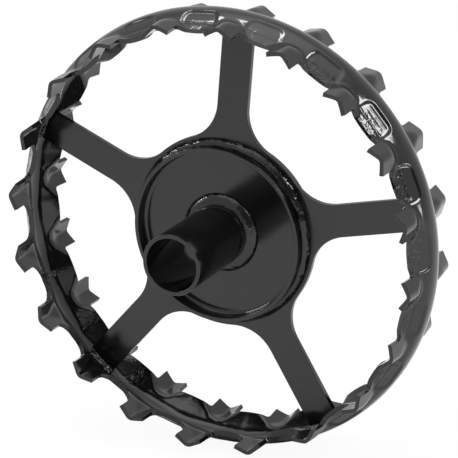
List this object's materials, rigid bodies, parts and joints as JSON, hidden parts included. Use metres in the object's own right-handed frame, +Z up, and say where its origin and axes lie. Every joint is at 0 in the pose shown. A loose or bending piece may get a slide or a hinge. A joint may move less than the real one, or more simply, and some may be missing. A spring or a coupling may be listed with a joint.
{
  "type": "crosskill roller ring",
  "caption": "Welded steel roller ring for a field roller: a toothed pressed rim on a spoked plate with pressed cups and a long hub tube.",
  "frame": {"origin": "on the shaft axis, in the middle plane of the rim", "axes": "+Y along the shaft, with the long end of the hub tube towards -Y; +Z up; +X to the right seen from the front"},
  "size_m": [0.445, 0.1583, 0.445],
  "materials": {
    "rim_paint": "gloss black enamel over pressed sheet",
    "plate_paint": "semi-gloss black enamel over flat plate",
    "cup_paint": "gloss black enamel over pressed dish",
    "tube_paint": "gloss black enamel over drawn tube",
    "weld_paint": "gloss black enamel over weld bead"
  },
  "bodies": {
    "root": {"hub_tube": "tube_paint", "rim": "rim_paint", "spider": "plate_paint", "front_cup": "cup_paint", "rear_cup": "cup_paint", "rim_seam_weld": "weld_paint", "spoke_1_front_weld": "weld_paint", "spoke_1_rear_weld": "weld_paint", "spoke_2_front_weld": "weld_paint", "spoke_2_rear_weld": "weld_paint", "spoke_3_front_weld": "weld_paint", "spoke_3_rear_weld": "weld_paint", "spoke_4_front_weld": "weld_paint", "spoke_4_rear_weld": "weld_paint", "spoke_5_front_weld": "weld_paint", "spoke_5_rear_weld": "weld_paint"}
  },
  "joints": []
}
